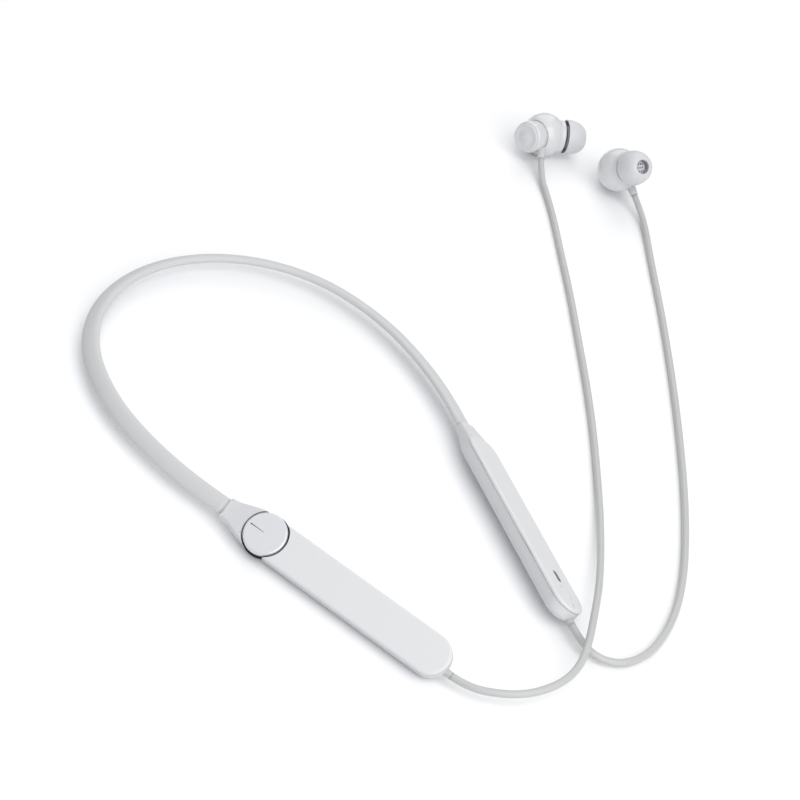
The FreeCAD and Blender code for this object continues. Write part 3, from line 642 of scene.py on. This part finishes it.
window_dark, tree, shader = material("window_dark", WINDOW_BLACK, 0.12)
shader.inputs["Coat Weight"].default_value = 0.6
bump(tree, shader, 900.0, 0.02, 0.00001)
window = prism("status_window", CHARGE_POD, slot_outline(WINDOW_AT, 0, WINDOW_LONG, WINDOW_WIDE), 1.65, 2.84)
soften(window, 0.1, window_dark)
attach(window, "root")
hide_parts("light_window")

button = prism("power_key", CHARGE_POD, slot_outline(BUTTON_AT, 0, BUTTON_LONG, BUTTON_WIDE), 1.5, 2.95)
soften(button, 0.22, cover_plastic, 4)
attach(button, "power_button")
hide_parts("power_button")

pressed_steel, tree, shader = material("pressed_steel", PORT_STEEL, 0.32)
shader.inputs["Metallic"].default_value = 1.0
mottle(tree, shader, bump(tree, shader, 1500.0, 0.1, 0.00002), PORT_STEEL, 0.06, 0.25, 0.4)
port = prism("socket_shell", PORT_AXES, slot_outline(0, 0, PORT_LONG, PORT_WIDE), -0.7, POD_HALF - 0.15)
port_mouth = slot_outline(0, 0, PORT_LONG - 2 * PORT_WALL, PORT_WIDE - 2 * PORT_WALL)
carve(port, prism("socket_inside", PORT_AXES, port_mouth, -0.4, 9))
soften(port, 0.06, pressed_steel)
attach(port, "root")
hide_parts("charge_port_shell")

# ------------------------------------------------------------ dial
# A turned aluminium disc with fine spun rings on its face and a small polished bevel round its rim. It
# sits over a near-black ring in the pod's well, painted shade that darkens the gap round the disc; it turns
# without a stop and presses in slightly. Its index line is a shallow tapered groove filled with dark paint.

DIAL_RADIUS = 6.4
DIAL_LOW = 1.5
DIAL_HIGH = 3.4
DIAL_BORE = 1.6
RING_PITCH = 0.00011
MARK_INNER = -0.4
MARK_OUTER = -5.3
DIAL_SILVER = (0.705, 0.715, 0.74)
MARK_GREY = (0.09, 0.09, 0.10)
WELL_SHADE_BLACK = (0.018, 0.018, 0.022)


def lathe(name, matrix, profile, finish, around=128):
    """Turned closed piece: profile is (radius, height) pairs, on the axis where the radius is zero."""
    made = bmesh.new()
    columns = []
    for turn in range(around):
        angle = 2 * math.pi * turn / around
        columns.append([made.verts.new(matrix @ Vector((out * math.cos(angle), out * math.sin(angle), up)))
                        for out, up in profile])
    count = len(profile)
    for turn in range(around):
        here, after = columns[turn], columns[(turn + 1) % around]
        for index in range(count):
            following = (index + 1) % count
            if profile[index][0] < 1e-6 and profile[following][0] < 1e-6:
                continue
            made.faces.new((here[index], here[following], after[following], after[index]))
    bmesh.ops.remove_doubles(made, verts=made.verts, dist=1e-7)
    bmesh.ops.dissolve_degenerate(made, edges=made.edges, dist=1e-8)
    bmesh.ops.recalc_face_normals(made, faces=made.faces)
    mesh = bpy.data.meshes.new(name)
    made.to_mesh(mesh)
    made.free()
    mesh.polygons.foreach_set("use_smooth", [True] * len(mesh.polygons))
    if finish:
        mesh.materials.append(finish)
    piece = bpy.data.objects.new(name, mesh)
    bpy.context.collection.objects.link(piece)
    return piece


DIAL_AXIS = DIAL_POD @ Matrix.Translation(Vector((DIAL_AT, 0, 0)))

spun_aluminium, tree, shader = material("spun_aluminium", DIAL_SILVER, 0.42)
shader.inputs["Metallic"].default_value = 0.38
nodes, links = tree.nodes, tree.links
place = nodes.new("ShaderNodeTexCoord")
from_axis = nodes.new("ShaderNodeVectorMath")
from_axis.operation = "DISTANCE"
from_axis.inputs[1].default_value = DIAL_AXIS @ Vector((0, 0, DIAL_HIGH))
rings = nodes.new("ShaderNodeMath")
rings.operation = "MULTIPLY"
rings.inputs[1].default_value = 2 * math.pi / RING_PITCH
wave = nodes.new("ShaderNodeMath")
wave.operation = "SINE"
rise = nodes.new("ShaderNodeBump")
rise.inputs["Strength"].default_value = 0.04
rise.inputs["Distance"].default_value = 0.00001
links.new(place.outputs["Object"], from_axis.inputs[0])
links.new(from_axis.outputs["Value"], rings.inputs[0])
links.new(rings.outputs["Value"], wave.inputs[0])
links.new(wave.outputs["Value"], rise.inputs["Height"])
links.new(rise.outputs["Normal"], shader.inputs["Normal"])

dial_profile = [(0, DIAL_HIGH), (2.0, DIAL_HIGH), (4.0, DIAL_HIGH), (5.9, DIAL_HIGH), (5.98, DIAL_HIGH),
                (6.04, DIAL_HIGH - 0.02), (6.32, DIAL_HIGH - 0.26), (6.38, DIAL_HIGH - 0.36),
                (DIAL_RADIUS, DIAL_HIGH - 0.5), (DIAL_RADIUS, DIAL_LOW + 0.3), (6.3, DIAL_LOW + 0.1),
                (6.1, DIAL_LOW), (DIAL_BORE, DIAL_LOW), (DIAL_BORE, 2.55), (0, 2.55)]
knob = lathe("dial_disc", DIAL_AXIS, dial_profile, spun_aluminium, 160)
groove = [(MARK_OUTER, -0.16), (MARK_INNER, -0.05), (MARK_INNER, 0.05), (MARK_OUTER, 0.16)]
carve(knob, prism("mark_groove", DIAL_AXIS, groove, DIAL_HIGH - 0.25, DIAL_HIGH + 1))
soften(knob, 0.03, spun_aluminium, 2)
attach(knob, "dial")
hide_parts("dial_knob")

mark_fill, tree, shader = material("mark_fill", MARK_GREY, 0.75)
shader.inputs["Specular IOR Level"].default_value = 0.1
bump(tree, shader, 4000.0, 0.1, 0.00001)
mark_outline = [(MARK_OUTER + 0.03, -0.14), (MARK_INNER - 0.1, -0.035), (MARK_INNER - 0.1, 0.035),
                (MARK_OUTER + 0.03, 0.14)]
mark = prism("dial_index_line", DIAL_AXIS, mark_outline, DIAL_HIGH - 0.25, DIAL_HIGH - 0.06)
mark.data.materials.append(mark_fill)
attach(mark, "dial")
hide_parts("dial_mark")

# The well ring's near-black is painted shade: it darkens the gap round the dial.
dark_plastic, tree, shader = material("dark_plastic", WELL_SHADE_BLACK, 0.42)
mottle(tree, shader, bump(tree, shader, 4200.0, 0.2, 0.00002), WELL_SHADE_BLACK, 0.2, 0.36, 0.5)
ring_profile = [(1.8, WELL_FLOOR), (6.75, WELL_FLOOR), (6.86, 0.5), (6.86, 0.75), (6.76, 0.85), (6.2, 0.85),
                (6.0, 0.8), (2.0, 0.8), (1.8, 0.7)]
bezel = lathe("dial_well_shade_ring", DIAL_AXIS, ring_profile, dark_plastic)
soften(bezel, 0.04, dark_plastic, 2)
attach(bezel, "dial_arm")
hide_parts("dial_bezel")

# ------------------------------------------------------------ cord sleeves at the pods
# Each cord leaves its pod through a short slim sleeve of the cord's own elastomer, moulded round it and
# gripped in the shell's end.

SLEEVE_RADIUS = 1.4
SLEEVE_LENGTH = 5.7
sleeve_profile = [(0, 0), (1.11, 0), (1.12, 0.1), (1.14, 0.8), (1.18, 1.6), (SLEEVE_RADIUS, 2.4),
                  (SLEEVE_RADIUS, SLEEVE_LENGTH), (0, SLEEVE_LENGTH)]


def on_cord(end, way):
    """Axes at a cord's end: Z along way, in millimetres."""
    return Matrix.Translation(end) @ way.to_track_quat("Z", "Y").to_matrix().to_4x4() @ Matrix.Scale(MM, 4)


for name, route, body, node in (("dial_cord_boot", DIAL_CORD, "dial_arm", "dial_cord_grommet"),
                                ("charge_cord_boot", CHARGE_CORD, "root", "charge_cord_grommet")):
    end = (NECK_BACK + Vector(route[0])) * MM
    inward = end - (NECK_BACK + Vector(route[1])) * MM
    pod_sleeve = lathe(name, on_cord(end, inward), sleeve_profile, cord_elastomer, 48)
    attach(pod_sleeve, body)
    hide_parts(node)

# ------------------------------------------------------------ bud chambers
# A glossy moulded ball that holds the driver, with a short straight neck at its front, a flat seat for
# the barrel at its back and a thin nozzle that carries the ear tip. It is moulded in one piece.

CHAMBER_RADIUS = 7.9
CHAMBER_WALL = 1.0
SEAT = 4.6
SHOULDER = 6.9
NOZZLE_RADIUS = 2.9
BORE_RADIUS = 2.3
BARREL_END = 11.0
BUD_WHITE = (0.66, 0.665, 0.675)
gloss_plastic, tree, shader = material("bud_gloss_plastic", BUD_WHITE, 0.22)
shader.inputs["Coat Weight"].default_value = 0.5
shader.inputs["Coat Roughness"].default_value = 0.08
mottle(tree, shader, bump(tree, shader, 1400.0, 0.03, 0.00002), BUD_WHITE, 0.01, 0.2, 0.28)


def facing(centre, way, beside):
    """Axes at centre in millimetres from the origin: Z along way, X as near as possible to beside."""
    way = Vector(way).normalized()
    side = (beside - way * beside.dot(way)).normalized()
    turn = Matrix((side, way.cross(side), way)).transposed().to_4x4()
    return Matrix.Translation(centre * MM) @ turn @ Matrix.Scale(MM, 4)


def arc_points(radius, first, last, count):
    """(radius, height) points round an arc; angles in degrees from the equator."""
    angles = [math.radians(first + (last - first) * index / count) for index in range(count + 1)]
    return [(radius * math.cos(angle), radius * math.sin(angle)) for angle in angles]


buds = []
for label, centre, forward, backward, route in (
        ("dial_bud", (-13.7, 174.8, 8.0), (0.500, 0.866, 0.017), (0.140, -0.972, 0.186), DIAL_CORD),
        ("charge_bud", (15.5, 186.4, 9.8), (0.742, -0.160, 0.651), (-0.594, 0.685, -0.4226), CHARGE_CORD)):
    cord_end = NECK_BACK + Vector(route[-1])
    cord_way = (NECK_BACK + Vector(route[-2])) - cord_end
    middle = NECK_BACK + Vector(centre)
    buds.append((label, facing(middle, forward, cord_way), facing(middle, backward, cord_way),
                 on_cord(cord_end * MM, -cord_way)))

neck = [(6.1, 5.1), (5.98, 5.4), (5.93, 5.75), (5.88, 6.5), (5.76, 6.8), (5.5, SHOULDER)]
nozzle = [(NOZZLE_RADIUS, SHOULDER), (NOZZLE_RADIUS, 11.8), (3.2, 12.1), (3.2, 12.8), (3.1, 13.0), (2.8, 13.2),
          (BORE_RADIUS, 13.2), (BORE_RADIUS, 5.9), (3.4, 5.9)]
chamber_profile = [*arc_points(CHAMBER_RADIUS, -90, 37, 44), *neck, *nozzle,
                   *arc_points(CHAMBER_RADIUS - CHAMBER_WALL, 60, -90, 30)]
seat_profile = [(0, SEAT), (5.75, SEAT), (5.75, BARREL_END), (0, BARREL_END)]
for label, front, back, cord_axes in buds:
    chamber = lathe(label + "_chamber_moulding", front, chamber_profile, gloss_plastic)
    carve(chamber, lathe("seat_cut", back, seat_profile, None))
    soften(chamber, 0.14, gloss_plastic)
    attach(chamber, "root")
    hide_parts(label + "_chamber")

# ------------------------------------------------------------ bud barrels and magnet caps
# The barrel is a short round moulding of the same glossy plastic, bonded to the chamber's seat. Its end
# is closed by a satin cap with a soft dome in its middle, over the magnet that holds the buds together.

BARREL_RADIUS = 5.7
CAP_RADIUS = 5.05
CAP_WHITE = (0.64, 0.645, 0.655)
cap_plastic, tree, shader = material("bud_cap_plastic", CAP_WHITE, 0.35)
mottle(tree, shader, bump(tree, shader, 4000.0, 0.1, 0.00002), CAP_WHITE, 0.015, 0.3, 0.4)
barrel_profile = [(4.7, SEAT), (5.5, SEAT), (BARREL_RADIUS, SEAT + 0.2), (BARREL_RADIUS, 9.6), (5.66, 10.1),
                  (5.54, 10.5), (5.34, 10.82), (5.1, 10.96), (4.9, BARREL_END), (0, BARREL_END),
                  (0, 10.0), (4.7, 10.0)]
cap_profile = [(0, 12.2), (0.8, 12.17), (1.5, 12.07), (2.1, 11.91), (2.55, 11.75), (3.0, 11.66), (3.5, 11.68),
               (4.1, 11.79), (4.5, 11.86), (4.75, 11.84), (4.95, 11.7), (CAP_RADIUS, 11.45),
               (CAP_RADIUS, BARREL_END), (0, BARREL_END)]
for label, front, back, cord_axes in buds:
    barrel = lathe(label + "_barrel_moulding", back, barrel_profile, gloss_plastic)
    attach(barrel, "root")
    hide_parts(label + "_rear_shell")
    cap = lathe(label + "_cap_disc", back, cap_profile, cap_plastic)
    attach(cap, "root")
    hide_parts(label + "_magnet_cap")

# ------------------------------------------------------------ gap shade rings, grilles and damping cloths
# A near-black ring round the nozzle's foot, behind the tip, is painted shade for the shadowed gap under the
# tip's skirt. A punched metal grille with three rows of slots is pressed into the nozzle's mouth, and a disc
# of dark cloth behind it damps the sound.

GRILLE_BACK = 12.5
GRILLE_FRONT = 12.8
SLOT_ROWS = 5
SLOT_COLUMNS = 3
ROW_PITCH = 0.75
COLUMN_PITCH = 1.35
# The near-black below is painted shade on the gap ring behind the tip, and the damping cloth's own dark colour.
GAP_SHADE_BLACK = (0.02, 0.02, 0.024)
GRILLE_SILVER = (0.72, 0.72, 0.75)
dark_rubber, tree, shader = material("dark_rubber", GAP_SHADE_BLACK, 0.6)
bump(tree, shader, 3500.0, 0.15, 0.00002)
mesh_metal, tree, shader = material("nozzle_mesh_metal", GRILLE_SILVER, 0.4)
shader.inputs["Metallic"].default_value = 0.2
bump(tree, shader, 3000.0, 0.1, 0.00001)


def grille_slots(matrix):
    """Slanted four-sided punches, in rows across the grille; the outer rows are shorter."""
    punches = bmesh.new()
    for row in range(SLOT_ROWS):
        for column in range(SLOT_COLUMNS):
            x = (column - (SLOT_COLUMNS - 1) / 2) * COLUMN_PITCH
            y = (row - (SLOT_ROWS - 1) / 2) * ROW_PITCH
            length = 0.8 if row in (0, SLOT_ROWS - 1) else 1.06
            outline = [(x + 0.14, y - 0.24), (x + 0.2 + length * 0.5, y - 0.04),
                       (x - 0.12 + length * 0.5, y + 0.28), (x - 0.16 - length * 0.32, y + 0.05)]
            corners = [punches.verts.new(matrix @ Vector((u, v, up)))
                       for up in (GRILLE_BACK - 0.2, GRILLE_FRONT + 0.2) for u, v in outline]
            punches.faces.new(corners[3::-1])
            punches.faces.new(corners[4:])
            for index in range(4):
                after = (index + 1) % 4
                punches.faces.new((corners[index], corners[after], corners[4 + after], corners[4 + index]))
    bmesh.ops.recalc_face_normals(punches, faces=punches.faces)
    mesh = bpy.data.meshes.new("slots")
    punches.to_mesh(mesh)
    punches.free()
    tool = bpy.data.objects.new("slots", mesh)
    bpy.context.collection.objects.link(tool)
    return tool


gap_shade_profile = [(2.92, SHOULDER), (4.9, SHOULDER), (5.0, 7.0), (5.0, 7.4), (4.9, 7.5), (2.92, 7.5)]
grille_profile = [(0, GRILLE_BACK), (BORE_RADIUS, GRILLE_BACK), (BORE_RADIUS, GRILLE_FRONT), (0, GRILLE_FRONT)]
for label, front, back, cord_axes in buds:
    # Painted shade: a near-black ring standing in for the shadow in the gap under the tip's skirt.
    ring = lathe(label + "_gap_shade_ring", front, gap_shade_profile, dark_rubber, 96)
    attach(ring, "root")
    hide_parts(label + "_dark_ring")
    grille = lathe(label + "_sound_grille", front, grille_profile, mesh_metal, 64)
    carve(grille, grille_slots(front))
    soften(grille, 0.02, mesh_metal, 1)
    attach(grille, "root")
    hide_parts(label + "_nozzle_mesh")
    cloth = lathe(label + "_damping_cloth", front, [(0, 11.9), (2.28, 11.9), (2.28, 12.1), (0, 12.1)],
                  dark_rubber, 48)
    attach(cloth, "root")

# ------------------------------------------------------------ ear tips
# A soft translucent silicone dome, turned back on itself round an inner stem that grips the nozzle's lip.
# A darker grey-purple core lines the sound bore; its darkness is partly the core's own tint and partly painted
# shade for the shadowed bore wall. Each tip pulls straight off its nozzle.

SKIRT = 7.9
TIP_END = 15.4
TIP_GREY = (0.62, 0.625, 0.645)
CORE_TINT_AND_SHADE = (0.36, 0.35, 0.385)
tip_silicone, tree, shader = material("tip_silicone", TIP_GREY, 0.38)
shader.inputs["Subsurface Weight"].default_value = 0.12
shader.inputs["Subsurface Radius"].default_value = (0.0012, 0.0011, 0.001)
shader.inputs["Subsurface Scale"].default_value = 1.0
mottle(tree, shader, bump(tree, shader, 2600.0, 0.06, 0.00002), TIP_GREY, 0.015, 0.34, 0.44)
# The core's grey is partly its own tint and partly painted shade for the bore's shadowed wall.
tip_core, tree, shader = material("tip_core_tint_and_shade", CORE_TINT_AND_SHADE, 0.5)
bump(tree, shader, 2600.0, 0.06, 0.00002)
dome = [(2.5, 14.95), (2.56, 15.18), (2.7, 15.32), (2.92, TIP_END - 0.05), (3.25, 15.28), (3.75, 15.05),
        (4.3, 14.62), (4.82, 14.03), (5.28, 13.3), (5.67, 12.4), (5.98, 11.4), (6.19, 10.4), (6.3, 9.4),
        (6.33, 8.6), (6.29, 8.1), (6.21, 7.94), (6.05, SKIRT), (5.88, 7.96), (5.8, 8.1)]
stem = [(5.8, 9.4), (5.62, 10.6), (5.24, 11.7), (4.7, 12.5), (4.2, 12.9), (4.0, 12.7), (3.98, 8.2),
        (3.9, SKIRT), (3.3, SKIRT), (3.25, 8.0), (3.25, 13.5), (2.5, 13.6)]
core_profile = [(2.3, 13.3), (2.49, 13.3), (2.49, 15.05), (2.42, 15.15), (2.34, 15.05)]
for label, front, back, cord_axes in buds:
    tip = lathe(label + "_ear_tip", front, dome + stem, tip_silicone)
    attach(tip, label + "_tip")
    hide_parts(label + "_tip")
    core = lathe(label + "_tip_core", front, core_profile, tip_core, 96)
    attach(core, label + "_tip")

# ------------------------------------------------------------ cord boots at the buds
# Each cord enters its bud through a tapered pale rubber boot, moulded round the cord and pressed into
# the chamber's underside.

BOOT_GREY = (0.56, 0.565, 0.57)
sleeve_rubber, tree, shader = material("sleeve_rubber", BOOT_GREY, 0.5)
mottle(tree, shader, bump(tree, shader, 3500.0, 0.15, 0.00002), BOOT_GREY, 0.02, 0.45, 0.55)
boot_profile = [(0, 0), (1.12, 0), (1.26, 0.05), (1.34, 0.2), (1.4, 1.0), (1.45, 2.0), (1.55, 3.0),
                (1.75, 3.9), (2.0, 4.7), (2.1, 5.6), (0, 5.6)]
for label, front, back, cord_axes in buds:
    boot = lathe(label + "_cord_boot", cord_axes, boot_profile, sleeve_rubber, 64)
    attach(boot, "root")
    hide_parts(label + "_sleeve")

# ------------------------------------------------------------ parts inside
# Boards, batteries, switches and the buds' drivers keep their shapes from the frame. Each gets the
# finish of its stuff: green solder mask, dull foil, drawn steel, black moulding or a clear lens.

INSIDE = {
    "circuit_board": ((0.02, 0.12, 0.05), 0.0, 0.4, 1800.0),
    "battery_foil": ((0.62, 0.63, 0.65), 0.8, 0.35, 900.0),
    "inner_metal": ((0.56, 0.56, 0.58), 1.0, 0.33, 1500.0),
    "dark_plastic": ((0.02, 0.02, 0.024), 0.0, 0.45, 4000.0),
    "inner_plastic": ((0.62, 0.62, 0.62), 0.0, 0.5, 3000.0),
    "lamp_lens": ((0.85, 0.85, 0.82), 0.0, 0.15, 1200.0),
}
record_slots = {part["node"]: part["material_slot"] for part in frame["record"]["subparts"]}
inside_finish = {}
for name, (colour, metallic, roughness, grain) in INSIDE.items():
    finish, tree, shader = material(name + "_inside", colour, roughness)
    shader.inputs["Metallic"].default_value = metallic
    mottle(tree, shader, bump(tree, shader, grain, 0.12, 0.00002), colour, 0.06, roughness - 0.05,
           roughness + 0.08)
    inside_finish[name] = finish
for node, piece in frame["nodes"].items():
    finish = inside_finish.get(record_slots.get(node))
    if finish:
        piece.data.materials.clear()
        piece.data.materials.append(finish)
